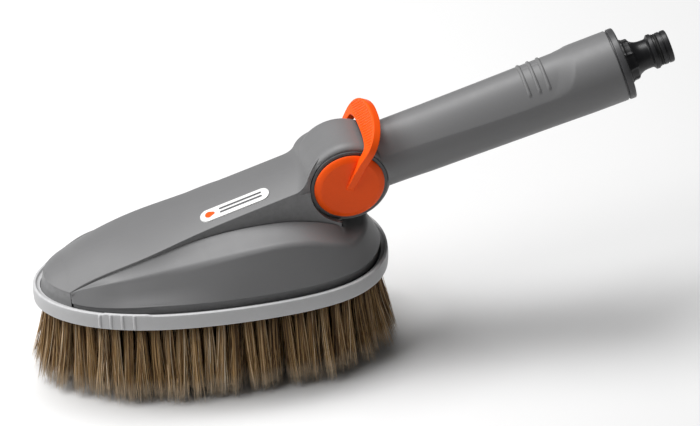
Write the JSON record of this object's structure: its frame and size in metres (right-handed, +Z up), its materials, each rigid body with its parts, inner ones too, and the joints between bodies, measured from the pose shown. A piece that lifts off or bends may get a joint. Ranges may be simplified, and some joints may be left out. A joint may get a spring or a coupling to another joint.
{
  "type": "hand wash brush",
  "caption": "Water-fed hand wash brush: oval bristle head, tubular handle, flow valve with bail lever in the neck, push-on hose connector.",
  "frame": {"origin": "centre of the bounding box's base: the plane of the bristle tips", "axes": "+X from the nose to the hose connector, +Y across the head (the lever turns about it), +Z up"},
  "size_m": [0.3236, 0.0952, 0.1485],
  "materials": {
    "housing_grey": "satin moulded",
    "bumper_grey": "satin soft plastic",
    "orange_plastic": "semi-gloss moulded",
    "black_plastic": "satin moulded",
    "white_plastic": "smooth moulded",
    "black_rubber": "smooth",
    "steel": "bright zinc",
    "natural_bristle": "natural hair"
  },
  "bodies": {
    "housing": {"head_shell": "housing_grey", "spine_cover": "housing_grey", "badge_plate": "white_plastic", "bumper_ring": "bumper_grey", "bristle_block": "black_plastic", "bristle_pack": "natural_bristle", "base_screws": "steel", "water_manifold": "black_plastic", "manifold_gasket": "black_rubber", "manifold_screws": "steel", "outlet_duct": "black_plastic", "duct_o_ring": "black_rubber", "handle_shell": "housing_grey", "bush_left": "black_plastic", "bush_right": "black_plastic", "valve_seat": "black_plastic", "inlet_seal": "black_rubber", "outlet_seal": "black_rubber", "water_tube": "white_plastic", "tube_o_ring": "black_rubber", "end_flange": "black_plastic", "hose_nipple": "black_plastic", "nipple_o_ring": "black_rubber"},
    "lever": {"flow_lever": "orange_plastic", "valve_plug": "white_plastic", "plug_o_ring_left": "black_rubber", "plug_o_ring_right": "black_rubber"}
  },
  "joints": [
    {"name": "flow_turn", "type": "hinge", "parent": "housing", "child": "lever", "pos_m": [-0.00354, 0, 0.0934], "axis": [0, 1, 0], "range_deg": [-60, 0]}
  ]
}
